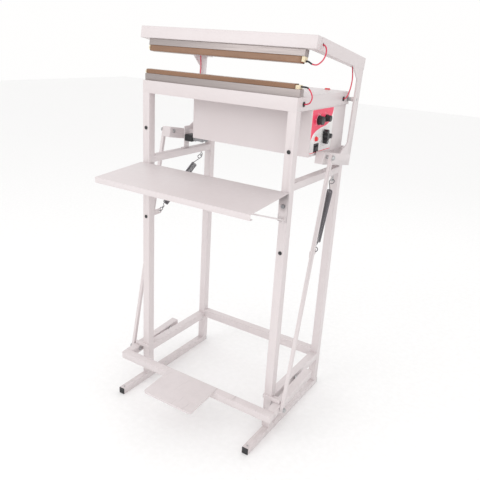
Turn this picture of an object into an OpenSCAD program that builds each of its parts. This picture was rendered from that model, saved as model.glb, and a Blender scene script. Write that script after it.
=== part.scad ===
// Foot-operated impulse heat sealer on a tubular floor frame.
// Units are millimetres, Z is up, the operator stands on the -Y side.
// The jaws are drawn open, at rest against the pedal stops.

/* [Frame] */
// Overall width across the front uprights
frame_w = 620; // [560:10:760]
// Side of the square upright tube
post = 30; // [25:1:40]
// Wall thickness of the tubes
wall = 2; // [1.5:0.5:3]
// Depth over the front and rear uprights
frame_d = 420; // [400:10:480]
// Height of the frame top
frame_h = 1232; // [1200:2:1260]
// Height of the top beam and top rails
beam_h = 43; // [40:1:50]
// Height and width of the foot rail tube
foot = 25; // [20:1:30]
// Distance of the foot rail ends in front of the uprights
foot_front = 143; // [100:1:180]

/* [Jaws] */
// Opening angle of the upper jaw at rest
open_deg = 9.2; // [6:0.1:12]
// Height of an aluminium jaw bar, lower one
lower_bar_h = 24; // [18:1:30]
// Height of an aluminium jaw bar, upper one
upper_bar_h = 22; // [18:1:30]
// Depth of both jaw bars
jaw_d = 26; // [20:1:30]
// Height of the lower brown cover
lower_cover_h = 15; // [10:1:20]
// Height of the upper brown cover
upper_cover_h = 19.6; // [12:0.1:22]

/* [Jaw frame] */
// Height of the upper jaw frame tube
arm_h = 40; // [30:1:50]
// Distance of the jaw pivot behind the front face
pivot_y = 396; // [380:1:400]
// Height of the jaw pivot
pivot_z = 1208; // [1200:1:1220]

/* [Pedal] */
// Downward slope of the pedal at rest
pedal_deg = 4; // [2:0.5:6]
// Distance of the pedal pivot behind the front face
pedal_y = 188; // [150:1:220]
// Height of the pedal pivot
pedal_z = 148; // [140:1:155]
// Width of the tread plate
tread_w = 220; // [160:5:300]

/* [Shelf] */
// Height of the rear edge of the bag shelf
shelf_z = 937; // [850:1:1000]
// Depth of the bag shelf
shelf_d = 235; // [180:5:300]
// Forward slope of the bag shelf
shelf_deg = 4.5; // [0:0.5:8]

/* [Control box] */
// Front face of the control box
box_y0 = 115; // [90:5:150]
// Left face of the control box
box_x0 = -168; // [-200:4:-100]
// Height of the control box floor
box_z0 = 1033; // [1000:1:1080]

/* [Hidden] */
hw = frame_w / 2;
hi = hw - post;
beam_z = frame_h - beam_h;
rail_end = 408;
eps = 0.01;
arm_i = hw + 4;
arm_o = arm_i + 30;
rod_i = arm_o + 11;
rod_o = rod_i + 12;
ped_i = hw + 14;
ped_o = ped_i + 30;
jaw_y = 10;
upper_z = frame_h + lower_bar_h + lower_cover_h + 0.4;
ubar_z = upper_z + upper_cover_h;
ubeam_z = ubar_z + upper_bar_h;
lean = 0.077966;
arm_low = 974;
bar_x = arm_o - 6;
arm_high = arm_low + arm_h;
// middle of the footprint, from the shelf's edge to the arms' rear ends
mid = (pivot_y + (412 - pivot_y) * cos(open_deg)
    + (ubeam_z + arm_h - pivot_z) * sin(open_deg) - 6 - shelf_d * cos(shelf_deg)) / 2;
// pull rod ends at rest, the upper pin is drop below and ahead of the jaw pivot
ahead = 183.1;
drop = 208;
top_y = pivot_y - ahead * cos(open_deg) - drop * sin(open_deg);
top_z = pivot_z + ahead * sin(open_deg) - drop * cos(open_deg);
low_y = pedal_y - 194.6 * cos(pedal_deg);
low_z = pedal_z - 194.6 * sin(pedal_deg);
rod_len = sqrt(pow(top_y - low_y, 2) + pow(top_z - low_z, 2));
rod_deg = atan2(top_y - low_y, top_z - low_z);
// spring: eye under the mid rail, hook hole in the rod tab
eye = [303, 356, 917];
tab = [353.5, 148, 702];
spr = eye - tab;
spr_len = norm(spr);
spr_az = atan2(spr[0], spr[1]);
spr_el = acos(spr[2] / spr_len);

// centres of the controls on the box's side, [y, z]
time_at = [170, 1151];
cool_at = [229, 1153];
mode_at = [226, 1093];
lamp_at = [160, 1090];
rock_at = [166, 1060];

$fn = 48;

// Node to draw

paint = [0.90, 0.89, 0.88];
alloy = [0.66, 0.66, 0.67];
zinc = [0.62, 0.63, 0.65];
brown = [0.62, 0.42, 0.29];
black = [0.07, 0.07, 0.08];
red = [0.80, 0.10, 0.14];

// ---------- helpers ----------
module org() translate([0, -mid, 0]) children();

module both() {
    children();
    mirror([1, 0, 0]) children();
}

module bx(x0, x1, y0, y1, z0, z1)
    translate([x0, y0, z0]) cube([x1 - x0, y1 - y0, z1 - z0]);

// square tube along Z, X or Y: open ends are cut through
module tz(x0, x1, y0, y1, z0, z1) difference() {
    bx(x0, x1, y0, y1, z0, z1);
    bx(x0 + wall, x1 - wall, y0 + wall, y1 - wall, z0 - 1, z1 + 1);
}
// c0 and c1 are the thicknesses of the end caps, -1 for an open end
module tx(x0, x1, y0, y1, z0, z1, c0, c1) difference() {
    bx(x0, x1, y0, y1, z0, z1);
    bx(x0 + c0, x1 - c1, y0 + wall, y1 - wall, z0 + wall, z1 - wall);
}
module ty(x0, x1, y0, y1, z0, z1, c0, c1) difference() {
    bx(x0, x1, y0, y1, z0, z1);
    bx(x0 + wall, x1 - wall, y0 + c0, y1 - c1, z0 + wall, z1 - wall);
}
// cylinder along X, from x0 to x1
module cx(x0, x1, y, z, r)
    translate([x0, y, z]) rotate([0, 90, 0]) cylinder(h = x1 - x0, r = r);
module hx(x0, x1, y, z, r)
    translate([x0, y, z]) rotate([0, 90, 0]) cylinder(h = x1 - x0, r = r, $fn = 6);
// cylinder along Y, from y0 to y1
module cy(x, y0, y1, z, r)
    translate([x, y0, z]) rotate([-90, 0, 0]) cylinder(h = y1 - y0, r = r);
module hy(x, y0, y1, z, r)
    translate([x, y0, z]) rotate([-90, 0, 0]) cylinder(h = y1 - y0, r = r, $fn = 6);
// round bar between two points
module seg(a, b, r) {
    d = b - a;
    l = norm(d);
    translate(a) rotate([0, acos(d[2] / l), atan2(d[1], d[0])])
        cylinder(h = l, r = r, $fn = 24);
}
// bent wire through a list of points, g is the bulge at its bends
module wire(p, r, g) {
    for (i = [0 : len(p) - 2]) seg(p[i], p[i + 1], r);
    for (i = [1 : len(p) - 2]) translate(p[i]) sphere(r = r + g, $fn = 24);
}

// closed jaw frame turned open about the pivot
module jaw()
    org() translate([0, pivot_y, pivot_z]) rotate([-open_deg, 0, 0])
        translate([0, -pivot_y, -pivot_z]) children();
// level pedal turned to its rest slope
module pedal()
    org() translate([0, pedal_y, pedal_z]) rotate([pedal_deg, 0, 0])
        translate([0, -pedal_y, -pedal_z]) children();
// shelf frame: origin on the rear edge of the shelf top
module shelf()
    org() translate([0, -6, shelf_z]) rotate([shelf_deg, 0, 0]) children();

// front face of a vertical bar at height z, jaws closed
function bar_y(z) = 368 + (ubeam_z - z) * lean;

// ---------- frame ----------
module front_uprights() color(paint) org() both() difference() {
    tz(hi, hw, 0, post, foot, beam_z);
    cy(hw - 15, -1, 3, 1064.6, 5);
    cy(hw - 15, -1, 3, 724.7, 5);
}

module rear_uprights() color(paint) org() both()
    tz(hi, hw, frame_d - post, frame_d, foot, 1035);

module front_beam() color(paint) org() difference() {
    tx(-hw, hw, 0, 30, beam_z, frame_h, wall, wall);
    for (x = [-240, -80, 80, 240])
        translate([x, 22, frame_h - 5]) cylinder(h = 10, r = 3);
}

module top_rails() color(paint) org() difference() {
    both() ty(hi, hw, 30, rail_end, beam_z, frame_h, -1, wall);
    cx(hw - 5, hw + 5, 44, 1210, 6);
    translate([-297, 51, frame_h - 5]) cylinder(h = 10, r = 3.4);
    both() cx(hw - 5, hw + 5, 355, 1210, 6);
    both() cx(hw - 5, hw + 5, pivot_y, pivot_z, 5);
}

module rear_beams() color(paint) org() {
    tx(-hi, hi, rail_end - post, rail_end, beam_z, frame_h, wall, wall);
    tx(-hi, hi, frame_d - post, frame_d, 1005, 1035, wall, wall);
}

module top_cover() color(paint) org() difference() {
    bx(-hw, hw, 44, rail_end, frame_h, frame_h + 1.5);
    translate([232, 384, frame_h - 1]) cylinder(h = 4, r = 8);
    translate([-297, 51, frame_h - 1]) cylinder(h = 4, r = 3.4);
}

module mid_rails() color(paint) org() both()
    ty(hi, hw, post, frame_d - post, 936, 961, -1, -1);

module low_rails() color(paint) org() both() difference() {
    ty(hi, hw, post, frame_d - post, 130, 160, -1, -1);
    cx(hw - 5, hw + 5, pedal_y, pedal_z, 6);
}

module rear_cross_rail() color(paint) org()
    tx(-hi, hi, frame_d - post, frame_d, 138, 172, -1, -1);

module foot_rails() color(paint) org() both() difference() {
    ty(hw - foot, hw, -foot_front, frame_d, 0, foot, -1, -1);
    translate([hw - foot / 2, -foot_front + 14, foot - 4]) cylinder(h = 8, r = 2);
}

module foot_caps() color(black) org() both() {
    bx(hw - foot + wall, hw - wall, -foot_front, -foot_front + 9, wall, foot - wall);
    bx(hw - foot, hw, -foot_front - 3, -foot_front, 0, foot);
    bx(hw - foot + wall, hw - wall, frame_d - 9, frame_d, wall, foot - wall);
    bx(hw - foot, hw, frame_d, frame_d + 3, 0, foot);
}

module foot_screws() color(zinc) org() both()
    translate([hw - foot / 2, -foot_front + 14, 0]) {
        translate([0, 0, foot - 4]) cylinder(h = 4, r = 2);
        translate([0, 0, foot]) cylinder(h = 2, r = 3.6);
    }

module post_plugs() color(black) org() both() for (z = [724.7, 1064.6]) {
    cy(hw - 15, 0, 8, z, 4.9);
    cy(hw - 15, -1.8, 0, z, 6.6);
}

// plate on the front of each upright, over the pedal arm
module pedal_stops() color(paint) org() both() {
    bx(hi - 2, ped_o - 6, -6, 0, 150.5, 166);
    bx(hw, ped_o - 6, 0, 22, 152, 158);
}

// ---------- control box ----------
module panel_holes() {
    for (c = [time_at, cool_at, mode_at]) cx(hw - 6, hw, c[0], c[1], 5);
    cx(hw - 6, hw, lamp_at[0], lamp_at[1], 6);
    bx(hw - 6, hw, rock_at[0] - 14, rock_at[0] + 14, rock_at[1] - 11, rock_at[1] + 11);
}

module control_box() color(paint) org() difference() {
    union() {
        bx(box_x0, hw - 2, box_y0, 390, box_z0, beam_z);
        bx(box_x0, hi, box_y0, rail_end - post, beam_z, frame_h);
    }
    bx(box_x0 + 1.5, hw - 3.5, box_y0 + 1.5, 388.5, box_z0 + 1.5, beam_z + 1);
    bx(box_x0 + 1.5, hi + 1, box_y0 + 1.5, rail_end - post + 1, beam_z, frame_h + 1);
    panel_holes();
}

module label_panel() color([0.86, 0.25, 0.28]) org() difference() {
    bx(hw - 2, hw - 1.3, 119, 287, 1041, 1187);
    panel_holes();
}

module transformer() color([0.25, 0.22, 0.2]) org() {
    difference() {
        bx(-80, 30, 200, 320, box_z0 + 1.5, box_z0 + 101.5);
        bx(-81, 31, 222, 248, box_z0 + 21, box_z0 + 82);
        bx(-81, 31, 272, 298, box_z0 + 21, box_z0 + 82);
    }
    translate([-95, 185, 0]) difference() {
        bx(0, 140, 0, 150, box_z0 + 1.5, box_z0 + 4.5);
        bx(15, 125, 15, 135, box_z0, box_z0 + 6);
    }
}

module timer_board() color([0.08, 0.35, 0.16]) org() {
    difference() {
        bx(120, 240, 160, 310, box_z0 + 13.5, box_z0 + 15.1);
    }
    for (x = [128, 232], y = [168, 302])
        translate([x, y, box_z0 + 1.5]) cylinder(h = 12, r = 4, $fn = 6);
    bx(140, 175, 180, 225, box_z0 + 15.1, box_z0 + 45);
    bx(190, 225, 180, 210, box_z0 + 15.1, box_z0 + 38);
    translate([160, 270, box_z0 + 15.1]) cylinder(h = 32, r = 11);
    translate([200, 270, box_z0 + 15.1]) cylinder(h = 24, r = 9);
}

// bezel with a slot for the rocker, its body inside the box
module rocker_housing() color(black) org() translate([0, rock_at[0], rock_at[1]]) difference() {
    union() {
        bx(hw - 28, hw - 1.3, -14, 14, -11, 11);
        bx(hw - 1.3, hw + 0.7, -17, 17, -14, 14);
    }
    bx(hw - 16, hw + 2, -10.5, 10.5, -8, 8);
    cy(hw - 4, -12, 12, 0, 1.6);
}

module lamp() color(red) org() translate([0, lamp_at[0], lamp_at[1]]) {
    cx(hw - 24, hw - 1.3, 0, 0, 5.9);
    cx(hw - 1.3, hw + 1.2, 0, 0, 8.5);
    cx(hw + 1.2, hw + 6, 0, 0, 6.6);
}

module grommet(y) difference() {
    union() {
        cx(hw - wall, hw, y, 1210, 6);
        cx(hw, hw + 2, y, 1210, 8);
    }
    cx(hw - 5, hw + 5, y, 1210, 3.2);
}
module rail_grommets() color(black) org() {
    grommet(44);
    both() grommet(355);
}

module cover_plug() color(red) org() translate([232, 384, frame_h]) {
    cylinder(h = 1.5, r = 8);
    translate([0, 0, 1.5]) cylinder(h = 5, r1 = 11, r2 = 9);
}

module junction_box() color(black) org() {
    bx(-290, -254, 222, 266, 992, 1018);
    bx(-287, -257, 219, 222, 995, 1015);
}

module cable_gland() color([0.45, 0.45, 0.46]) org() {
    cx(-254, -247, 240, 1003, 10.5);
    cx(-247, -222, 240, 1003, 8);
    cx(-222, -212, 240, 1003, 9.5);
    wire([[-212, 240, 1003], [-194, 240, 1003], [-194, 240, 1052],
        [box_x0, 240, 1052]], 4.5, 0.3);
}

module gland_strap() color(paint) org() {
    bx(-293, -290, 222, 252, 961, 1050);
    bx(-308, -293, 222, 252, 961, 964);
}

// ---------- lower jaw ----------
module jaw_bar_profile(h) polygon([[0.8, 0], [jaw_d - 0.8, 0], [jaw_d, 0.8],
    [jaw_d, h - 0.8], [jaw_d - 0.8, h], [0.8, h], [0, h - 0.8], [0, 0.8]]);

module lower_jaw_bar() color(alloy) org() difference() {
    translate([-308, jaw_y, frame_h]) rotate([90, 0, 90])
        linear_extrude(height = 618) jaw_bar_profile(lower_bar_h);
    for (x = [-240, -80, 80, 240])
        translate([x, 22, frame_h - 1]) cylinder(h = 30, r = 3);
}

lz = frame_h + lower_bar_h;
module lower_strip() color([0.75, 0.33, 0.22]) org() difference() {
    bx(-296, 286, jaw_y + 1.5, jaw_y + jaw_d - 1.5, lz, lz + lower_cover_h - 1.5);
}

module lower_cover() color(brown) org() difference() {
    bx(-302, 292, jaw_y, jaw_y + jaw_d, lz, lz + lower_cover_h);
    bx(-303, 293, jaw_y + 1.5, jaw_y + jaw_d - 1.5, lz - 1, lz + lower_cover_h - 1.5);
}

module lower_terminals() color([0.82, 0.74, 0.58]) org() {
    for (s = [[292, 306], [-306, -302]]) {
        bx(s[0], s[1], jaw_y + 2, jaw_y + jaw_d - 2, lz, lz + 12);
        cy(s[0] + (s[1] - s[0]) / 2, jaw_y - 2, jaw_y + 2, lz + 6, 1.9);
    }
}

// right: round the jaw end to the hole in the rail; left: down behind the bar
module lower_leads() color(red) org() {
    wire([[306, 24, lz + 7], [320, 24, lz + 7], [335, 28, 1254], [340, 34, 1239],
        [337, 40, 1222], [326, 44, 1210], [308, 44, 1210]], 2.6, 0.2);
    wire([[-304.8, 34.1, lz + 7], [-304.8, 43, lz + 7], [-301, 49, 1254],
        [-297, 51, 1243], [-297, 51, 1216]], 2.6, 0.2);
}

// lead that crosses the jaw pivot, one on each side
module cross_leads() color(red) org() both()
    wire([[327, 362.5, 1316], [328, 364, 1296], [327.5, 366, 1274], [326, 363, 1250],
        [324, 359, 1232], [320, 355, 1210], [308, 355, 1210]], 2.6, 0.12);

// ---------- jaw pivots, springs ----------
module pivot_bolts() color(zinc) org() both() {
    cx(hi + wall, arm_o - 0.4, pivot_y, pivot_z, 5);
    cx(hi + wall, hw - wall, pivot_y, pivot_z, 9);
    cx(hw, bar_x - 14.4, pivot_y, pivot_z, 7);
}

module ring(c, r, w) translate(c)
    rotate_extrude($fn = 32) translate([r, 0]) circle(r = w, $fn = 16);

module spring_eyes() color(zinc) org() both() {
    translate([eye[0], eye[1], 927]) cylinder(h = 9, r = 3);
    hyz = 7;
    translate(eye) rotate([0, 90, 0])
        rotate_extrude($fn = 32) translate([hyz, 0]) circle(r = 2, $fn = 16);
}

// coil envelope with its straight end wires
module springs() color([0.33, 0.33, 0.35]) org() both()
    translate(tab) rotate([-spr_el, 0, -spr_az]) {
        difference() {
            translate([0, 0, 40]) cylinder(h = 212, r = 12.5);
            translate([0, 0, 43]) cylinder(h = 206, r = 9.5);
        }
        translate([0, 0, 26]) cylinder(h = 15, r = 1.6, $fn = 16);
        translate([0, 0, 251]) cylinder(h = spr_len - 251 - 7, r = 1.6, $fn = 16);
    }

// ring through the rod tab
module spring_links() color([0.33, 0.33, 0.35]) org() both()
    translate(tab) rotate([-spr_el, 0, -spr_az]) {
        translate([0, 0, 9]) rotate([90, 0, 0])
            rotate_extrude($fn = 32) translate([9, 0]) circle(r = 1.5, $fn = 16);
        translate([0, 0, 18]) cylinder(h = 7.6, r = 1.5, $fn = 16);
    }

module pedal_pins() color(zinc) org() both() {
    cx(hi + wall, ped_o - wall - 0.5, pedal_y, pedal_z, 6);
    cx(hi + wall, hw - wall, pedal_y, pedal_z, 9);
    cx(hw, ped_i - 0.4, pedal_y, pedal_z, 9);
}

// ---------- upper jaw frame ----------
module upper_beam() color(paint) jaw()
    tx(-arm_o, arm_o, 3, 33, ubeam_z, ubeam_z + arm_h, wall, wall);

module upper_arms() color(paint) jaw() difference() {
    both() ty(arm_i, arm_o, 33, 412, ubeam_z, ubeam_z + arm_h, -1, wall);
    cx(arm_o - 5, arm_o + 5, 46, ubeam_z + 20, 5);
    cx(-arm_i - 5, -arm_i + 5, 58, ubeam_z + 17, 3.4);
    both() translate([327, 345.6, ubeam_z - 1]) cylinder(h = 5, r = 5);
}

// flat bars on the outer side of the arms, each with a pivot bush
module vertical_bars() color(paint) jaw() both() difference() {
    union() {
        translate([bar_x, 0, 0]) rotate([90, 0, 90])
            linear_extrude(height = arm_o - bar_x) polygon([
                [bar_y(arm_high), arm_high], [bar_y(arm_high) + 40, arm_high],
                [bar_y(ubeam_z) + 40, ubeam_z], [bar_y(ubeam_z), ubeam_z]]);
        cx(bar_x - 14, bar_x, pivot_y, pivot_z, 8);
    }
    cx(arm_i - 1, arm_o + 1, pivot_y, pivot_z, 5.05);
}

module lower_arms() color(paint) jaw() both() difference() {
    ty(arm_i, arm_o, 191, 433, arm_low, arm_high, wall, wall);
    cx(arm_i - 1, arm_o + 1, pivot_y - ahead, pivot_z - drop, 4);
}

module gussets() color(paint) jaw() both() translate([arm_o - 4, 0, 0])
    rotate([90, 0, 90]) {
        linear_extrude(height = 4) polygon([[308, ubeam_z],
            [bar_y(ubeam_z - 43), ubeam_z - 43], [bar_y(ubeam_z), ubeam_z]]);
        linear_extrude(height = 4) polygon([[331, arm_high],
            [bar_y(arm_high), arm_high], [bar_y(arm_high + 43), arm_high + 43]]);
    }

module upper_jaw_bar() color(alloy) jaw()
    translate([-306, jaw_y, ubar_z]) rotate([90, 0, 90])
        linear_extrude(height = 612) jaw_bar_profile(upper_bar_h);

module upper_strip() color([0.75, 0.33, 0.22]) jaw()
    bx(-296, 292, jaw_y + 1.5, jaw_y + jaw_d - 1.5, upper_z + 1.5, ubar_z);

module upper_cover() color(brown) jaw() difference() {
    bx(-300, 296, jaw_y, jaw_y + jaw_d, upper_z, ubar_z);
    bx(-301, 297, jaw_y + 1.5, jaw_y + jaw_d - 1.5, upper_z + 1.5, ubar_z + 1);
}

module upper_terminals() color([0.82, 0.74, 0.58]) jaw() {
    for (s = [[296, 306], [-306, -300]]) {
        bx(s[0], s[1], jaw_y + 2, jaw_y + jaw_d - 2, upper_z + 4, ubar_z);
        cy((s[0] + s[1]) / 2, jaw_y - 2, jaw_y + 2, upper_z + 11, 1.9);
    }
}

// right: round the jaw end to the arm's outer side; left: up behind the bar
module upper_leads() color(red) jaw() {
    wire([[306, 24, upper_z + 7], [318, 24, upper_z + 7], [336, 26, upper_z],
        [352, 31, upper_z + 14], [358, 38, upper_z + 34],
        [354, 44, ubeam_z + 12], [341, 46, ubeam_z + 20]], 2.6, 0.12);
    wire([[-303, 34.1, upper_z + 11], [-303, 43, upper_z + 11], [-305, 52, upper_z + 34],
        [-308, 58, ubeam_z + 17], [-320, 58, ubeam_z + 17]], 2.6, 0.12);
}

module rod_pins_top() color(zinc) jaw() both() {
    cx(arm_i - 4.4, rod_o + 4, pivot_y - ahead, pivot_z - drop, 4);
    hx(arm_i - 4, arm_i, pivot_y - ahead, pivot_z - drop, 7.5);
    cx(arm_o, rod_i - 0.4, pivot_y - ahead, pivot_z - drop, 5.5);
    cx(rod_o + 0.4, rod_o + 1.9, pivot_y - ahead, pivot_z - drop, 9);
    hx(rod_o + 1.9, rod_o + 7, pivot_y - ahead, pivot_z - drop, 7.5);
}

// ---------- pull rods ----------
module pull_rods() color(paint) org() both() difference() {
    union() {
        translate([rod_i, low_y, low_z]) rotate([-rod_deg, 0, 0])
            translate([0, -6, -12]) cube([12, 12, rod_len + 24]);
        bx(rod_i - 3, rod_i + 1, 109, 116, tab[2] - 11, tab[2] + 11);
        bx(rod_i - 3, rod_i, 115, tab[1], tab[2] - 11, tab[2] + 11);
        cx(rod_i - 3, rod_i, tab[1], tab[2], 11);
    }
    cx(rod_i - 5, rod_o + 1, tab[1], tab[2], 5);
    cx(rod_i - 1, rod_o + 1, top_y, top_z, 4.05);
    cx(rod_i - 1, rod_o + 1, low_y, low_z, 5.2);
}

// ---------- pedal ----------
module pedal_bar() color(paint) pedal()
    tx(-ped_o, ped_o, -83, -53, pedal_z - 15, pedal_z + 15, wall, wall);

module pedal_arms() color(paint) pedal() both() difference() {
    union() {
        ty(ped_i, ped_o, -53, 246, pedal_z - 15, pedal_z + 15, -1, wall);
        cx(ped_i, ped_o, pedal_y, pedal_z, 10);
    }
    cx(ped_i - 1, ped_o - wall, pedal_y, pedal_z, 6.05);
    cx(ped_i - 1, ped_o + 1, pedal_y - 194.6, pedal_z, 4);
}

module tread_shape(g) {
    w = tread_w / 2 - g;
    translate([-w, -213 + g]) square([2 * w, 130 - g]);
    translate([-w + 12 - g, -225 + g]) square([2 * w - 24 + 2 * g, 20]);
    for (s = [-1, 1])
        translate([s * (w - 12 + g), -213 + g]) circle(r = 12 - g);
}
module tread_plate() color(paint) pedal() translate([0, 0, pedal_z + 15]) {
    linear_extrude(height = 2.5) tread_shape(0);
    bx(-tread_w / 2, tread_w / 2, -84, -58, 0, 2.5);
    translate([0, 0, -6.5]) linear_extrude(height = 7) difference() {
        tread_shape(0);
        tread_shape(2.5);
    }
}

module rod_pins_low() color(zinc) pedal() both() {
    cx(ped_i - 6, rod_o + 4, pedal_y - 194.6, pedal_z, 4);
    hx(ped_i - 6, ped_i, pedal_y - 194.6, pedal_z, 7.5);
    cx(ped_o, rod_i - 0.4, pedal_y - 194.6, pedal_z, 7.5);
    cx(rod_o + 0.4, rod_o + 1.9, pedal_y - 194.6, pedal_z, 9);
    hx(rod_o + 1.9, rod_o + 7, pedal_y - 194.6, pedal_z, 7.5);
}

// ---------- bag shelf ----------
module shelf_plate() color(paint) shelf() {
    bx(-313, 313, -shelf_d, 0, -1.5, 0);
    bx(-313, 313, -shelf_d, -shelf_d + 1.5, -20, -1.5);
    bx(-313, 313, -shelf_d + 1.5, -shelf_d + 14, -20, -18.5);
}

module shelf_brackets() color(paint) {
    org() both() difference() {
        union() {
            bx(hi - 3.4, hw - 1, -4, -0.4, 836, shelf_z - 2);
            bx(hi - 3.4, hi - 0.4, -4, 24, 836, shelf_z - 2);
        }
        cy(hw - 15, -6, 1, 889, 4);
    }
    shelf() both() bx(hi - 3.4, hw - 1, -30, 2.5, -4.5, -1.5);
}

module shelf_struts() color(paint) {
    org() both() {
        bx(hw - 12, hw - 7, -10, -4, 838, 850);
        seg([hw - 9.5, -7.2, 844], [hw - 9.5, -217, 914], 2.4);
    }
    shelf() both() bx(hw - 12, hw - 7, -220, -196, -4.5, -1.5);
}

module shelf_bolts() color([0.3, 0.3, 0.31]) org() both() {
    cy(hw - 15, -4, -0.6, 889, 4);
    hy(hw - 15, -10.5, -4, 889, 7.5);
}

// ---------- controls ----------
module knob(y, z, r) {
    cx(hw - 14, hw + 3, y, z, 3);
    difference() {
        union() {
            cx(hw - 0.8, hw + 3, y, z, r + 2);
            cx(hw + 3, hw + 16, y, z, r);
        }
        for (a = [0 : 30 : 330])
            translate([hw + 3.5, y, z]) rotate([a, 0, 0])
                translate([0, 0, r + 0.6]) rotate([0, 90, 0])
                    cylinder(h = 14, r = 1.4, $fn = 12);
        bx(hw + 14.8, hw + 17, y - 0.8, y + 0.8, z + 2, z + r + 1);
    }
}
module time_knob() color(black) org() knob(time_at[0], time_at[1], 14);
module cool_knob() color(black) org() knob(cool_at[0], cool_at[1], 10.5);

module selector_knob() color(black) org() {
    translate([0, mode_at[0], mode_at[1]]) {
        cx(hw - 14, hw + 3, 0, 0, 3);
        cx(hw - 0.8, hw + 3, 0, 0, 14);
        cx(hw + 3, hw + 16, 0, 0, 12);
        for (a = [30, 150, 270]) rotate([a, 0, 0]) {
            cx(hw + 3, hw + 17.5, 0, 18.5, 8.3);
            bx(hw + 3, hw + 15, -5.5, 5.5, 0, 18.5);
        }
    }
}

module rocker() color(black) org() translate([hw - 4, rock_at[0] - 170, rock_at[1]]) {
    translate([0, 180.1, 0]) rotate([90, 0, 0]) rotate([0, 0, -8])
        linear_extrude(height = 20.2) polygon([[-5, -4], [7.5, -6.6], [6, -3], [5.4, 0],
            [6, 3], [7.5, 6.6], [-5, 4]]);
    cy(0, 158.2, 160, 0, 1.55);
    cy(0, 180, 181.8, 0, 1.55);
}

front_uprights();
rear_uprights();
front_beam();
top_rails();
rear_beams();
top_cover();
mid_rails();
low_rails();
rear_cross_rail();
foot_rails();
foot_caps();
foot_screws();
post_plugs();
pedal_stops();
control_box();
label_panel();
transformer();
timer_board();
rocker_housing();
lamp();
rail_grommets();
cover_plug();
junction_box();
cable_gland();
gland_strap();
lower_jaw_bar();
lower_strip();
lower_cover();
lower_terminals();
lower_leads();
cross_leads();
pivot_bolts();
spring_eyes();
springs();
pedal_pins();
upper_beam();
upper_arms();
vertical_bars();
lower_arms();
gussets();
upper_jaw_bar();
upper_strip();
upper_cover();
upper_terminals();
upper_leads();
rod_pins_top();
pull_rods();
spring_links();
pedal_bar();
pedal_arms();
tread_plate();
rod_pins_low();
shelf_plate();
shelf_brackets();
shelf_struts();
shelf_bolts();
time_knob();
cool_knob();
selector_knob();
rocker();
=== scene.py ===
"""Foot-operated impulse heat sealer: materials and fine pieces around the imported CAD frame."""
import math

import bmesh
import bpy
import numpy as np
from mathutils import Matrix, Vector


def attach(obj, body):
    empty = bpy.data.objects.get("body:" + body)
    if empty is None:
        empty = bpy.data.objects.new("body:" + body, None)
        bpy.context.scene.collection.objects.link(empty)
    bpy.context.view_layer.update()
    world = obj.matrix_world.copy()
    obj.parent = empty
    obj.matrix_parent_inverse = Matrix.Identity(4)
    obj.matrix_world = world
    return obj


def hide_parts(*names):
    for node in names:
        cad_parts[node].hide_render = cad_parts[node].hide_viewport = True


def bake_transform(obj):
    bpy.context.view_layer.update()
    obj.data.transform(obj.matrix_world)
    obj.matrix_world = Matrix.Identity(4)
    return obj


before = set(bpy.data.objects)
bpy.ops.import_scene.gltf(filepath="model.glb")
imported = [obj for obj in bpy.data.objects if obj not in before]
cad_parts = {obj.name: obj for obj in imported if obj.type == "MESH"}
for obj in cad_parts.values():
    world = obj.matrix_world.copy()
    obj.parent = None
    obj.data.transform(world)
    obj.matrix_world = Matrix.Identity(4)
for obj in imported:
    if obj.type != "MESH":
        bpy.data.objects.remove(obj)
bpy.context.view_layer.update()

# ---------------------------------------------------------------- positions
# Points are written in millimetres: x from the middle, y back from the uprights' front face,
# z up from the floor. at() and jaw() turn them into metres of the shared frame.
OPEN = math.radians(9.2)         # angle of the jaw frame at rest
JAW_PIVOT = (396.0, 1208.0)      # its pivot, y and z
ARM_REAR, ARM_TOP = 16, 145      # rear top corner of the upper arms, from that pivot
SHELF_GAP, SHELF_DEPTH = 6, 235  # the bag shelf stands clear of the uprights, and its depth
SHELF_TILT = math.radians(4.5)
# middle of the whole depth, from the opened arms' rear corner to the shelf's front edge
MID = (JAW_PIVOT[0] + ARM_REAR * math.cos(OPEN) + ARM_TOP * math.sin(OPEN)
       - SHELF_GAP - SHELF_DEPTH * math.cos(SHELF_TILT)) / 2


def at(x, y, z):
    """A point of the drawing, in the shared frame."""
    return Vector((x, y - MID, z)) / 1000


def turned(p, pivot, angle):
    """A drawing point turned about a line along X."""
    c, s = math.cos(angle), math.sin(angle)
    y, z = p[1] - pivot[0], p[2] - pivot[1]
    return (p[0], pivot[0] + y * c - z * s, pivot[1] + y * s + z * c)


def jaw(x, y, z):
    """A point given with the jaws closed, moved to the open rest position."""
    return at(*turned((x, y, z), JAW_PIVOT, -OPEN))


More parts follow.
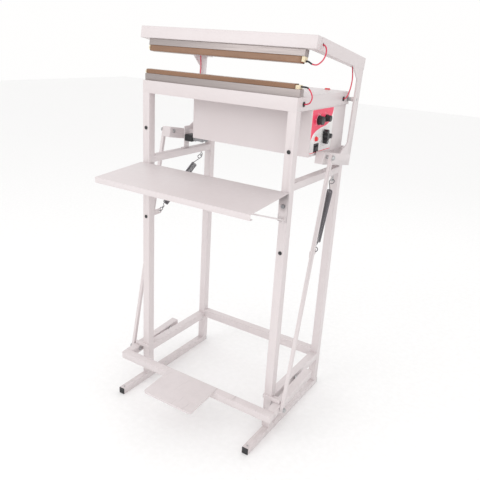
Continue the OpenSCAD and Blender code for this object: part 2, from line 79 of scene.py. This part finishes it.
# ---------------------------------------------------------------- materials
class Surface:
    """A Principled material with short helpers for its node tree."""

    def __init__(self, name, color, rough, metallic=0.0, **sockets):
        self.mat = bpy.data.materials.new(name)
        self.mat.use_nodes = True
        self.nt = self.mat.node_tree
        self.bsdf = next(n for n in self.nt.nodes if n.type == "BSDF_PRINCIPLED")
        self.set("Base Color", (*color, 1))
        self.set("Roughness", rough)
        self.set("Metallic", metallic)
        for key, value in sockets.items():
            self.set(key.replace("_", " "), value)
        self.coord = self.node("ShaderNodeTexCoord").outputs["Object"]
        self.height = None

    def set(self, socket, value):
        self.bsdf.inputs[socket].default_value = value

    def node(self, kind, **values):
        n = self.nt.nodes.new(kind)
        for k, v in values.items():
            if hasattr(n, k):
                setattr(n, k, v)
            else:
                n.inputs[k.replace("_", " ")].default_value = v
        return n

    def link(self, a, b):
        self.nt.links.new(a, b)

    def scaled(self, scale):
        """Object coordinates, stretched along an axis by a scale under 1."""
        m = self.node("ShaderNodeMapping")
        m.inputs["Scale"].default_value = scale
        self.link(self.coord, m.inputs["Vector"])
        return m.outputs["Vector"]

    def noise(self, scale, detail=3.0, rough=0.5, stretch=None, distortion=0.0):
        n = self.node("ShaderNodeTexNoise", Scale=scale, Detail=detail, Roughness=rough,
                      Distortion=distortion)
        self.link(self.scaled(stretch) if stretch else self.coord, n.inputs["Vector"])
        return n.outputs["Fac"]

    def ramp(self, value, low, high, a=0.0, b=1.0):
        """Maps low..high of an output to a..b, clamped."""
        n = self.node("ShaderNodeMapRange")
        for key, v in zip(("From Min", "From Max", "To Min", "To Max"), (low, high, a, b)):
            n.inputs[key].default_value = v
        self.link(value, n.inputs["Value"])
        return n.outputs["Result"]

    def math(self, op, a, b=None):
        n = self.node("ShaderNodeMath", operation=op)
        for i, v in enumerate((a, b)):
            if v is None:
                continue
            if isinstance(v, (int, float)):
                n.inputs[i].default_value = v
            else:
                self.link(v, n.inputs[i])
        return n.outputs["Value"]

    def tint(self, factor, a, b):
        """Mixes a and b, each a colour or an output, by factor into the base colour."""
        n = self.node("ShaderNodeMix", data_type="RGBA")
        self.link(factor, n.inputs["Factor"])
        for key, v in (("A", a), ("B", b)):
            socket = [s for s in n.inputs if s.name == key and s.type == "RGBA"][0]
            if isinstance(v, tuple):
                socket.default_value = (*v, 1)
            else:
                self.link(v, socket)
        out = [s for s in n.outputs if s.type == "RGBA"][0]
        self.link(out, self.bsdf.inputs["Base Color"])
        return out

    def rough(self, value):
        self.link(value, self.bsdf.inputs["Roughness"])

    def bump(self, height, distance, strength=1.0):
        """Adds one more layer of relief, distance in metres."""
        n = self.node("ShaderNodeBump", Strength=strength, Distance=distance)
        self.link(height, n.inputs["Height"])
        if self.height is not None:
            self.link(self.height, n.inputs["Normal"])
        self.height = n.outputs["Normal"]
        self.link(self.height, self.bsdf.inputs["Normal"])

    def axis(self, i):
        """Object coordinate along one axis, in metres."""
        s = self.node("ShaderNodeSeparateXYZ")
        self.link(self.coord, s.inputs["Vector"])
        return s.outputs[i]


def powder_coat(name, color, dirt=0.35, scuff=0.0):
    """Satin pale powder coat: faint clouding, grime near the floor, scuffs where it is trodden."""
    grime_height = 0.22                 # metres above the floor
    yellowed = (0.955, 0.935, 0.925)
    grimy, scuffed = 0.62, 0.72         # how much darker than the yellowed coat
    s = Surface(name, color, 0.4, Coat_Weight=0.12, Coat_Roughness=0.25)
    cloud = s.noise(5.0, 4.0, 0.55)
    warm = tuple(c * k for c, k in zip(color, yellowed))
    base = s.tint(s.ramp(cloud, 0.35, 0.75, 0.0, 0.6), color, warm)
    grime = s.math("MULTIPLY", s.ramp(s.axis(2), 0.0, grime_height, dirt, 0.0),
                   s.ramp(s.noise(38.0, 5.0, 0.65), 0.42, 0.72))
    base = s.tint(grime, base, tuple(c * grimy for c in warm))
    if scuff:
        lines = s.noise(120.0, 2.0, 0.6, (1.0, 0.06, 1.0), 0.4)
        marks = s.math("MULTIPLY", s.ramp(lines, 0.6, 0.7),
                       s.ramp(s.noise(9.0, 2.0), 0.45, 0.65, 0, scuff))
        s.tint(marks, base, tuple(c * scuffed for c in warm))
    s.rough(s.ramp(s.noise(60.0, 3.0), 0.3, 0.7, 0.34, 0.48))
    # orange peel, then the slow waves of the metal under it
    s.bump(s.noise(620.0, 2.0, 0.5), 0.00010, 0.35)
    s.bump(s.noise(28.0, 2.0, 0.4), 0.0006, 0.12)
    return s.mat


def plastic(name, color, rough, grain=1500.0, depth=0.00004, **kw):
    """Moulded or printed plastic: paler rubbed patches, uneven gloss and a fine grain."""
    s = Surface(name, color, rough, **kw)
    light = tuple(min(1.0, c * 1.35 + 0.004) for c in color)
    s.tint(s.ramp(s.noise(45.0, 4.0, 0.6), 0.4, 0.75, 0, 0.55), color, light)
    s.rough(s.ramp(s.noise(110.0, 3.0), 0.3, 0.7, rough * 0.85, min(1.0, rough * 1.2)))
    s.bump(s.noise(grain, 1.0), depth, 0.5)
    return s.mat


def brushed(name, color, rough, along, fine=900.0):
    """Metal with fine lines running along one axis."""
    drawn_out = 0.015
    s = Surface(name, color, rough, 1.0)
    stretch = tuple(drawn_out if i == along else 1.0 for i in range(3))
    lines = s.noise(fine, 3.0, 0.7, stretch)
    s.tint(s.ramp(lines, 0.3, 0.75), tuple(c * 0.82 for c in color), color)
    s.rough(s.ramp(s.noise(fine * 0.6, 2.0, 0.6, stretch), 0.3, 0.7, rough * 0.8, rough * 1.25))
    s.bump(lines, 0.00005, 0.4)
    s.bump(s.noise(14.0, 3.0), 0.0004, 0.08)
    return s.mat


def zinc_plate(name, color, rough):
    """Zinc plate: small crystals that catch the light differently, a few dark spots."""
    spot_color = (0.2, 0.18, 0.15)
    s = Surface(name, color, rough, 1.0)
    cells = s.node("ShaderNodeTexVoronoi", Scale=420.0)
    s.link(s.coord, cells.inputs["Vector"])
    tone = s.node("ShaderNodeSeparateColor")
    s.link(cells.outputs["Color"], tone.inputs["Color"])
    base = s.tint(s.ramp(tone.outputs[0], 0, 1, 0, 0.8), color, tuple(c * 0.78 for c in color))
    s.tint(s.ramp(s.noise(90.0, 4.0, 0.6), 0.62, 0.78, 0, 0.5), base, spot_color)
    s.rough(s.ramp(tone.outputs[1], 0, 1, rough * 0.75, rough * 1.3))
    s.bump(s.noise(700.0, 2.0), 0.00004, 0.5)
    return s.mat


def ptfe_cloth(name, color):
    """Brown PTFE-coated glass cloth: plain weave, glossy coat, streaks along the jaw."""
    threads = 420.0
    s = Surface(name, color, 0.34, Sheen_Weight=0.08, Coat_Weight=0.25, Coat_Roughness=0.3)
    warp = s.node("ShaderNodeTexWave", Scale=threads, Distortion=0.6, bands_direction="X")
    weft = s.node("ShaderNodeTexWave", Scale=threads, Distortion=0.6, bands_direction="Y")
    for w in (warp, weft):
        s.link(s.coord, w.inputs["Vector"])
    weave = s.math("MULTIPLY", warp.outputs["Fac"], weft.outputs["Fac"])
    streak = s.noise(26.0, 4.0, 0.6, (0.22, 1.0, 1.0))
    base = s.tint(s.ramp(streak, 0.35, 0.7), tuple(c * 0.86 for c in color),
                  tuple(c * 1.12 for c in color))
    s.tint(s.ramp(weave, 0.0, 0.6, 0.0, 0.22), base, tuple(c * 0.6 for c in color))
    s.rough(s.ramp(s.noise(70.0, 3.0), 0.3, 0.7, 0.26, 0.46))
    s.bump(weave, 0.00007, 0.5)
    s.bump(s.noise(60.0, 3.0, 0.5, (0.3, 1.0, 1.0)), 0.0005, 0.25)
    return s.mat


PAINT = (0.70, 0.643, 0.648)
SMOOTH_GRAIN = 0.00002  # metres, printed film
M = {
    "paint": powder_coat("paint", PAINT),
    "worn": powder_coat("paint_worn", PAINT, 0.3, 0.55),
    "black": plastic("black_plastic", (0.022, 0.022, 0.024), 0.48),
    "knob": plastic("knob_plastic", (0.018, 0.018, 0.02), 0.36, 1100.0),
    "zinc": zinc_plate("zinc", (0.56, 0.565, 0.57), 0.36),
    "spring": brushed("spring_steel", (0.22, 0.21, 0.225), 0.36, 2, 500.0),
    "alu": brushed("aluminium", (0.45, 0.40, 0.39), 0.42, 0),
    "cloth": ptfe_cloth("release_sheet", (0.25, 0.125, 0.065)),
    "silicone": plastic("silicone", (0.55, 0.17, 0.09), 0.6, 500.0),
    "brass": zinc_plate("terminal", (0.74, 0.62, 0.36), 0.32),
    "cream": plastic("cream_plastic", (0.76, 0.66, 0.47), 0.5),
    "tape": ptfe_cloth("end_tape", (0.30, 0.21, 0.10)),
    "lead": plastic("lead", (0.62, 0.04, 0.085), 0.36, 300.0),
    "print_red": plastic("print_red", (0.86, 0.05, 0.12), 0.33, 2400.0, SMOOTH_GRAIN),
    "film": plastic("film", (0.82, 0.80, 0.79), 0.34, 2400.0, SMOOTH_GRAIN),
    "ink": plastic("ink", (0.05, 0.05, 0.055), 0.4),
    "white_ink": plastic("white_ink", (0.86, 0.85, 0.84), 0.4),
    "lamp": plastic("lamp", (0.75, 0.02, 0.025), 0.16, 300.0, Coat_Weight=0.6),
    "core": plastic("laminations", (0.10, 0.085, 0.075), 0.55),
    "board": plastic("board", (0.02, 0.16, 0.06), 0.4),
    "gland": plastic("gland", (0.27, 0.27, 0.28), 0.5),
    "steel": zinc_plate("clamp_steel", (0.30, 0.30, 0.31), 0.4),
}

# Material of each carried-over CAD node; all the others are painted.
LOOK = {}
for key, nodes in {
    "worn": "tread_plate pedal_bar",
    "black": "foot_caps post_plugs rocker_housing rail_grommets junction_box rocker",
    "knob": "time_knob cool_knob selector_knob",
    "zinc": "foot_screws pivot_bolts spring_eyes pedal_pins rod_pins_top rod_pins_low",
    "spring": "springs spring_links",
    "steel": "shelf_bolts",
    "alu": "lower_jaw_bar upper_jaw_bar",
    "cloth": "lower_cover upper_cover",
    "silicone": "lower_strip upper_strip",
    "cream": "lower_terminals upper_terminals",
    "lead": "lower_leads cross_leads upper_leads",
    "film": "label_panel",
    "lamp": "lamp cover_plug",
    "core": "transformer",
    "board": "timer_board",
    "gland": "cable_gland",
}.items():
    for n in nodes.split():
        LOOK[n] = M[key]


def paint_with(obj, mat):
    if obj.material_slots:
        for s in obj.material_slots:
            s.material = mat
    else:
        obj.data.materials.append(mat)


# Edge radius of each carried-over CAD node in millimetres; the others have SMALL_EDGE.
SMALL_EDGE = 0.4
WELD_GAP = 0.00002                # metres
FLAT_ANGLE, EDGE_ANGLE = math.radians(0.8), math.radians(38)
EDGE = {"front_uprights": 2.0, "rear_uprights": 2.0, "mid_rails": 2.0, "low_rails": 2.0,
        "rear_cross_rail": 2.0, "foot_rails": 1.8, "front_beam": 2.0, "top_rails": 2.0,
        "rear_beams": 2.0, "upper_beam": 2.2, "upper_arms": 2.2, "vertical_bars": 0.8,
        "lower_arms": 2.2, "pedal_bar": 2.0, "pedal_arms": 2.0, "pull_rods": 1.2,
        "control_box": 0.9, "top_cover": 0.6, "junction_box": 1.5, "foot_caps": 1.0,
        "shelf_plate": 0.7, "tread_plate": 0.9, "lower_jaw_bar": 0.6, "upper_jaw_bar": 0.6}
for name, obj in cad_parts.items():
    paint_with(obj, LOOK.get(name, M["paint"]))
    for poly in obj.data.polygons:
        poly.use_smooth = True
    weld = obj.modifiers.new("weld", "WELD")
    weld.merge_threshold = WELD_GAP
    flat = obj.modifiers.new("flat", "DECIMATE")
    flat.decimate_type = "DISSOLVE"
    flat.angle_limit = FLAT_ANGLE
    bevel = obj.modifiers.new("edges", "BEVEL")
    bevel.width = EDGE.get(name, SMALL_EDGE) / 1000
    bevel.segments = 2
    bevel.limit_method = "ANGLE"
    bevel.angle_limit = EDGE_ANGLE
    bevel.harden_normals = True
    bevel.use_clamp_overlap = True


# ---------------------------------------------------------------- mesh helpers
CREASE = math.radians(40)


def new_piece(name, verts, faces, mat, body=None, smooth=True):
    """A mesh object from vertices in metres; it rides a body where one is given."""
    mesh = bpy.data.meshes.new(name)
    mesh.from_pydata([tuple(v) for v in verts], [], faces)
    mesh.validate()
    obj = bpy.data.objects.new(name, mesh)
    bpy.context.scene.collection.objects.link(obj)
    mesh.materials.append(mat)
    bm = bmesh.new()
    bm.from_mesh(mesh)
    bmesh.ops.recalc_face_normals(bm, faces=bm.faces)
    bm.to_mesh(mesh)
    bm.free()
    for p in mesh.polygons:
        p.use_smooth = smooth
    if smooth:
        mesh.set_sharp_from_angle(angle=CREASE)
    if body:
        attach(obj, body)
    return obj


def curve_through(points, per=12):
    """A smooth line through points (Catmull-Rom), with per steps between two of them."""
    p = [Vector(q) for q in points]
    p = [p[0] * 2 - p[1]] + p + [p[-1] * 2 - p[-2]]
    out = []
    for i in range(1, len(p) - 2):
        a, b, c, d = p[i - 1:i + 3]
        for k in range(per):
            t = k / per
            out.append(0.5 * ((2 * b) + (c - a) * t + (2 * a - 5 * b + 4 * c - d) * t * t
                              + (3 * b - a - 3 * c + d) * t ** 3))
    out.append(p[-2])
    return out


def tube(path, radius, sides=12):
    """Vertices and faces of a round tube along a path; radius may be a function of 0..1."""
    path = [Vector(q) for q in path]
    verts, faces = [], []
    tangent = (path[1] - path[0]).normalized()
    side = tangent.orthogonal().normalized()
    for i, p in enumerate(path):
        ahead = path[min(i + 1, len(path) - 1)] - path[max(i - 1, 0)]
        t = ahead.normalized()
        side = (side - t * side.dot(t)).normalized()
        up = t.cross(side)
        r = radius(i / (len(path) - 1)) if callable(radius) else radius
        for k in range(sides):
            a = 2 * math.pi * k / sides
            verts.append(p + (side * math.cos(a) + up * math.sin(a)) * r)
    for i in range(len(path) - 1):
        for k in range(sides):
            a, b = i * sides + k, i * sides + (k + 1) % sides
            faces.append((a, b, b + sides, a + sides))
    faces.append(tuple(reversed(range(sides))))
    faces.append(tuple(range(len(verts) - sides, len(verts))))
    return verts, faces


def joined(parts):
    """One vertex and face list from several."""
    verts, faces = [], []
    for v, f in parts:
        n = len(verts)
        verts += list(v)
        faces += [tuple(i + n for i in q) for q in f]
    return verts, faces


# ---------------------------------------------------------------- extension springs
# Centres of the two rings a spring hangs between, in drawing millimetres.
ROD_EYE, RAIL_EYE = Vector((353.5, 148, 702)), Vector((303, 356, 917))
TURNS, TURN_STEPS = 54, 16
# The rest in metres: radii of the wire, the coil and the middles of the two hook loops.
WIRE, COIL, LOW_LOOP, HIGH_LOOP = 0.0015, 0.0109, 0.0058, 0.0095
COIL_FROM_LOW, COIL_FROM_HIGH = 0.040, 0.050      # coil's ends, from the two rings
LOW_CENTRE, HIGH_CENTRE = 0.0235, 0.0102          # loops' centres, from the two rings
TIGHT, OPENING = 0.75, 0.5                        # end turns' radius, and its growth per turn


def spring(side):
    """An extension spring from the rod's tab up to the ring under the mid rail."""
    low = at(side * ROD_EYE.x, ROD_EYE.y, ROD_EYE.z)
    high = at(side * RAIL_EYE.x, RAIL_EYE.y, RAIL_EYE.z)
    along = (high - low).normalized()
    out = Vector((side, 0, 0))
    out = (out - along * out.dot(along)).normalized()
    up = along.cross(out)
    length = (high - low).length
    first, last = COIL_FROM_LOW, length - COIL_FROM_HIGH
    path = []
    # lower hook: a loop round the ring in the rod's tab, then up one side of the coil
    for k in range(10):
        a = math.radians(-190 + k * 21)
        path.append(low + along * (LOW_CENTRE + LOW_LOOP * math.cos(a))
                    + up * LOW_LOOP * math.sin(a))
    for further, aside in ((0.031, 0.0045), (0.036, 0.0075)):
        path.append(low + along * further + up * aside)
    for k in range(TURNS * TURN_STEPS + 1):
        t = k / (TURNS * TURN_STEPS)
        a = 2 * math.pi * TURNS * t + math.pi / 2
        grow = min(1.0, TIGHT + t * TURNS * OPENING, TIGHT + (1 - t) * TURNS * OPENING)
        path.append(low + along * (first + (last - first) * t)
                    + (out * math.cos(a) + up * math.sin(a)) * COIL * grow)
    # upper hook: a full loop hung in the ring under the mid rail
    for k in range(15):
        a = math.radians(200 - k * 22)
        path.append(high - along * (HIGH_CENTRE - HIGH_LOOP * math.sin(a))
                    + out * HIGH_LOOP * math.cos(a))
    v, f = tube(path, WIRE, 8)
    obj = new_piece("spring_right" if side > 0 else "spring_left", v, f, M["spring"])
    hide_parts("springs")
    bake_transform(obj)


for side in (1, -1):
    spring(side)


# ---------------------------------------------------------------- leads
LEAD, SLEEVE, SLEEVE_TAPER = 0.0021, 0.0030, 0.0004  # radii in metres


def lead(name, points, node, body=None, sleeve=None, blend=None):
    """A PVC lead along points; sleeve is the share of it, from its start, under a black sleeve."""
    path = curve_through(points)
    v, f = tube(path, LEAD)
    obj = new_piece(name, v, f, M["lead"], body)
    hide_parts(node)
    if blend:
        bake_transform(obj)
    if sleeve:
        n = max(3, int(len(path) * sleeve))
        v, f = tube(path[:n], lambda t: SLEEVE - SLEEVE_TAPER * t)
        cap = new_piece(name + "_sleeve", v, f, M["black"], body)


lead("lower_lead_right", [at(304, 24, 1263), at(317, 24.5, 1263.2), at(328, 26, 1261),
                          at(337, 31, 1249), at(339, 38, 1233), at(331, 43, 1217),
                          at(319, 44.5, 1211), at(306, 44, 1210)], "lower_leads", "frame", 0.32)
lead("lower_lead_left", [at(-304.2, 33, 1263), at(-304.2, 39, 1263), at(-303, 45, 1260),
                         at(-299.5, 49.5, 1252), at(-297.3, 51, 1243), at(-297, 51, 1232),
                         at(-297, 51, 1216)], "lower_leads", "frame", 0.45)
lead("upper_lead_right", [jaw(303, 24, 1278.4), jaw(314, 24.5, 1278), jaw(327, 26, 1272),
                          jaw(343, 28, 1272), jaw(356, 33, 1286), jaw(360, 39, 1305),
                          jaw(356, 44, 1322), jaw(348, 46, 1331), jaw(338, 46, 1333)],
     "upper_leads", "jaw_frame", 0.26)
lead("upper_lead_left", [jaw(-303, 33, 1282.4), jaw(-303, 39, 1282.4), jaw(-303, 44, 1287),
                         jaw(-304.5, 51, 1303), jaw(-307, 57, 1321), jaw(-311, 58.2, 1329),
                         jaw(-322, 58, 1330)], "upper_leads", "jaw_frame", 0.4)
for s, tag in ((1, "right"), (-1, "left")):
    lead("cross_lead_" + tag,
         [at(s * 327, 363, 1328), at(s * 327, 363, 1318), at(s * 328.5, 366, 1300),
          at(s * 329, 369, 1277), at(s * 328, 366, 1252), at(s * 325, 360, 1230),
          at(s * 320, 356, 1216), at(s * 313, 355, 1210.5), at(s * 305, 355, 1210)],
         "cross_leads", blend=("jaw_frame", "frame", at(0, 363, 1312), at(0, 358, 1226)))


# ---------------------------------------------------------------- release sheets over the jaws
JAW_FRONT, JAW_DEPTH = 10, 26.0         # front face and depth of both jaw bars, mm
FOLD = 2.4                              # radius of the cloth over the bars' edges
HEM = 0.4                               # the cloth ends this far above the side's full height
LAND_Z, RIDGE_FOOT, RIDGE_TOP = -0.02, 1.7, 1.4  # height beside the wire, half widths of its ridge
SIDE_WAVE, TOP_WAVE = 0.12, 0.10        # depth of the ripples in the sides and the top
SIDE_BELOW, TOP_ABOVE = -3, -1          # z where the sides and the top begin, from the wire's top
LOWER_SIDE, UPPER_SIDE = 15.0, 19.6     # height of the covered sides of each jaw
SHEET_THICK = 0.00022                   # metres


def cover(name, node, where, x0, x1, flat_z, sign, body):
    """Cloth folded over a jaw: sides, rounded edges and a flat land with the wire's ridge.

    sign is 1 for the lower jaw, whose cloth lies on top, and -1 for the upper one.
    """
    deep, tall, r = JAW_DEPTH, (LOWER_SIDE if sign > 0 else UPPER_SIDE), FOLD
    # (y, z) across half the jaw: up the front, round its edge, along the top to the wire
    line = [(0.25, -tall + HEM)]
    line += [(0.15 + 0.1 * math.sin(k), -tall + HEM + k * (tall - r) / 5) for k in range(1, 5)]
    line += [(r - r * math.cos(a), -r + r * math.sin(a)) for a in np.linspace(0.0, math.pi / 2, 6)]
    land = [(r + (deep / 2 - r - FOLD) * t, LAND_Z) for t in (0.35, 0.7, 1.0)]
    ridge = [(deep / 2 - RIDGE_FOOT, LAND_Z), (deep / 2 - RIDGE_TOP, 0.0), (deep / 2, 0.0)]
    half = line + land + ridge
    line = half + [(deep - y, z) for y, z in reversed(half[:-1])]
    cols, knots = 60, 16
    rng = np.random.default_rng(7 if sign > 0 else 8)
    wave = np.interp(np.linspace(0, 1, cols + 1), np.linspace(0, 1, knots),
                     rng.uniform(-1, 1, knots))
    verts, faces = [], []
    for i in range(cols + 1):
        x = x0 + (x1 - x0) * i / cols
        for y, z in line:
            side_wave = SIDE_WAVE * wave[i] * (1 if z < SIDE_BELOW else 0)
            lift = TOP_WAVE * (abs(wave[i]) - 1.0) if z > TOP_ABOVE else 0.0
            # the sides ripple only inward, towards the bar
            inward = max(0.0, side_wave) if y < deep / 2 else min(0.0, -side_wave)
            verts.append(where(x, JAW_FRONT + y + inward, flat_z + sign * (z + lift)))
    n = len(line)
    for i in range(cols):
        for j in range(n - 1):
            a = i * n + j
            faces.append((a, a + 1, a + n + 1, a + n))
    obj = new_piece(name, verts, faces, M["cloth"], body)
    solid = obj.modifiers.new("thick", "SOLIDIFY")
    solid.thickness = SHEET_THICK
    solid.offset = -1 if sign > 0 else 1
    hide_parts(node)


cover("lower_release_sheet", "lower_cover", at, -302, 292, 1271.0, 1, "frame")
cover("upper_release_sheet", "upper_cover", jaw, -300, 296, 1271.4, -1, "jaw_frame")


# ---------------------------------------------------------------- control panel print
# Lines are (y, z) in millimetres on the control box's side, each layer just over the last one.
FACE = 308.7                 # x of the label's surface
RED_SUNK, RED_THICK = 0.02, 0.08
BORDER_X, WHITE_X, NUMBER_X = FACE + 0.02, FACE + 0.06, FACE + 0.13
INK_THICK = 0.06
TIME, COOL, MODE = (170, 1151), (229, 1153), (226, 1093)  # centres of the three controls
DIAL = range(-135, 136, 27)  # degrees of a round dial's marks, clockwise from the top
MODES = (150, 210, 270)      # degrees of the selector's marks


def plate(name, outline, x, thick, mat):
    """A thin flat piece on the panel's face, from an outline of (y, z)."""
    n = len(outline)
    verts = [at(x, y, z) for y, z in outline] + [at(x + thick, y, z) for y, z in outline]
    faces = [tuple(range(n)), tuple(range(2 * n - 1, n - 1, -1))]
    faces += [(i, (i + 1) % n, n + (i + 1) % n, n + i) for i in range(n)]
    return new_piece(name, verts, faces, mat, "frame", smooth=False)


# The red field fills the label above this curve.
red_edge = [(119.5, 1087), (124, 1093), (136, 1106), (149, 1113.5), (162.5, 1118), (176, 1121.5),
            (191, 1124.5), (211, 1126.5), (231, 1129), (246, 1133), (259, 1139), (267, 1147),
            (273, 1157), (278, 1166), (282, 1175), (284, 1186.5)]
red = plate("panel_red", [(119.5, 1186.5)] + red_edge, FACE - RED_SUNK, RED_THICK,
            M["print_red"])


def ribbon(pts, wide, x):
    """Vertices and faces of a printed line of constant width along (y, z) points."""
    verts, faces = [], []
    for i, (y, z) in enumerate(pts):
        y0, z0 = pts[max(i - 1, 0)]
        y1, z1 = pts[min(i + 1, len(pts) - 1)]
        d = math.hypot(y1 - y0, z1 - z0)
        ny, nz = -(z1 - z0) / d * wide / 2, (y1 - y0) / d * wide / 2
        for dx in (0, INK_THICK):
            verts += [at(x + dx, y - ny, z - nz), at(x + dx, y + ny, z + nz)]
    for i in range(len(pts) - 1):
        a, b = 4 * i, 4 * i + 4
        faces += [(a, a + 1, b + 1, b), (a + 2, b + 2, b + 3, a + 3),
                  (a, b, b + 2, a + 2), (a + 1, a + 3, b + 3, b + 1)]
    n = 4 * len(pts)
    faces += [(0, 2, 3, 1), (n - 4, n - 3, n - 1, n - 2)]
    return verts, faces


def printed(name, parts, mat, body="frame"):
    """Printed lines, as one mesh."""
    v, f = joined(parts)
    new_piece(name, v, f, mat, body, smooth=False)


def on_circle(centre, r, degrees):
    """A point of a circle on the panel, clockwise from its top."""
    a = math.radians(degrees)
    return centre[0] + r * math.sin(a), centre[1] + r * math.cos(a)


def arc(centre, r, a0, a1, n=28):
    return [on_circle(centre, r, a0 + (a1 - a0) * k / n) for k in range(n + 1)]


def ticks(centre, r0, r1, angles, wide, x):
    """Short radial lines between two radii."""
    return [ribbon([on_circle(centre, r, a) for r in (r0, r1)], wide, x) for a in angles]


white = [ribbon([(y + 1.2, z - 2.4) for y, z in red_edge[1:-1]], 1.1, BORDER_X)]
white += ticks(TIME, 18.5, 21.5, DIAL, 0.9, WHITE_X)
white += ticks(COOL, 14.5, 17.0, DIAL, 0.9, WHITE_X)
white.append(ribbon(arc(TIME, 17.6, -135, 135), 0.6, WHITE_X))
dark = ticks(MODE, 28.5, 31.5, MODES, 1.1, FACE)
dark.append(ribbon(arc(MODE, 32.4, 150, 270, 16), 0.5, FACE))
printed("panel_white_marks", white, M["white_ink"])
printed("panel_dark_marks", dark, M["ink"])
printed("panel_red_rule", [ribbon([(120.5, 1044.5), (284, 1044.5)], 2.2, FACE)], M["print_red"])


def digits(name, centre, r, numbers, size, mat):
    """Dial numbers on a circle, as one mesh in the panel's plane.

    numbers are (text, clockwise degrees from the top); r and size are in millimetres.
    """
    verts, faces = [], []
    for text, degrees in numbers:
        y, z = on_circle(centre, r, degrees)
        font = bpy.data.curves.new(name, "FONT")
        font.body, font.size, font.align_x, font.align_y = text, size / 1000, "CENTER", "CENTER"
        font.resolution_u = 3
        obj = bpy.data.objects.new(name, font)
        mesh = obj.to_mesh()
        n = len(verts)
        for v in mesh.vertices:
            verts.append(at(NUMBER_X, y + v.co.x * 1000, z + v.co.y * 1000))
        faces += [tuple(n + i for i in p.vertices) for p in mesh.polygons]
        obj.to_mesh_clear()
        bpy.data.objects.remove(obj)
        bpy.data.curves.remove(font)
    piece = new_piece(name, verts, faces, mat, "frame", smooth=False)


digits("time_numbers", TIME, 25.0, [(str(k), DIAL[k]) for k in range(0, 11, 2)], 6.0,
       M["white_ink"])
digits("cool_numbers", COOL, 20.5, [(str(k), DIAL[k]) for k in range(1, 8, 3)], 5.0,
       M["white_ink"])
digits("mode_numbers", MODE, 36.5, [("1", 270), ("2", 210), ("3", 150)], 5.5, M["ink"])

# ---------------------------------------------------------------- knob pointers
KNOB_X, SELECTOR_X, POINTER_WIDE = 324.78, 327.5, 1.3  # front faces of the knobs
for name, centre, radii, x, body, degrees in (
        ("time_pointer", TIME, (2.5, 13.5), KNOB_X, "time_dial", 0.0),
        ("cool_pointer", COOL, (2.5, 10.0), KNOB_X, "cool_dial", 0.0),
        ("selector_pointer", MODE, (14.0, 25.5), SELECTOR_X, "selector", 210)):
    printed(name, ticks(centre, *radii, [degrees], POINTER_WIDE, x), M["white_ink"], body)


# ---------------------------------------------------------------- camera, light, floor
CAMERA_AT = (1097.25, -1560.69, 1395.75)        # drawing millimetres
CAMERA_AHEAD = (-0.49343, 0.80058, -0.34001)    # its line of sight
CAMERA_UP = (-0.22909, 0.25749, 0.93873)
LENS, SENSOR = 42.115, 36.0                     # millimetres
FLOOR_HALF = 12.0                               # metres
WORLD_COLOR, WORLD_STRENGTH = (1.0, 0.995, 0.99, 1), 1.0
# name, place and aim in metres, watts, width of the square lamp in metres
LIGHTS = (("key", (-1.2, -3.0, 2.8), (0, 0, 0.8), 24, 2.4),
          ("fill", (1.6, -3.0, 1.8), (0, 0, 0.9), 12, 2.2),
          ("rim", (0.6, 2.6, 2.8), (0, 0, 1.0), 5, 2.0))
FLOOR = plastic("floor_paper", (0.93, 0.93, 0.93), 0.85, 200.0, 0.00005)


def studio():
    cam_data = bpy.data.cameras.new("camera")
    cam_data.sensor_width = SENSOR
    cam_data.lens = LENS
    cam = bpy.data.objects.new("camera", cam_data)
    bpy.context.scene.collection.objects.link(cam)
    ahead = Vector(CAMERA_AHEAD).normalized()
    right = ahead.cross(Vector(CAMERA_UP)).normalized()
    up = right.cross(ahead)
    m = Matrix((right, up, -ahead)).transposed().to_4x4()
    m.translation = at(*CAMERA_AT)
    cam.matrix_world = m
    bpy.context.scene.camera = cam

    v = [(x * FLOOR_HALF, y * FLOOR_HALF, 0) for x, y in ((-1, -1), (1, -1), (1, 1), (-1, 1))]
    floor = new_piece("floor", v, [(0, 1, 2, 3)], FLOOR, smooth=False)

    world = bpy.data.worlds.new("studio")
    bpy.context.scene.world = world
    world.use_nodes = True
    back = world.node_tree.nodes["Background"]
    back.inputs["Color"].default_value = WORLD_COLOR
    back.inputs["Strength"].default_value = WORLD_STRENGTH

    for name, where, aim, power, wide in LIGHTS:
        data = bpy.data.lights.new(name, "AREA")
        data.energy = power
        data.size = wide
        lamp = bpy.data.objects.new(name, data)
        lamp.location = where
        lamp.rotation_euler = (Vector(aim) - Vector(where)).to_track_quat("-Z", "Y").to_euler()
        bpy.context.scene.collection.objects.link(lamp)
    bpy.context.scene.view_settings.view_transform = "Standard"


studio()
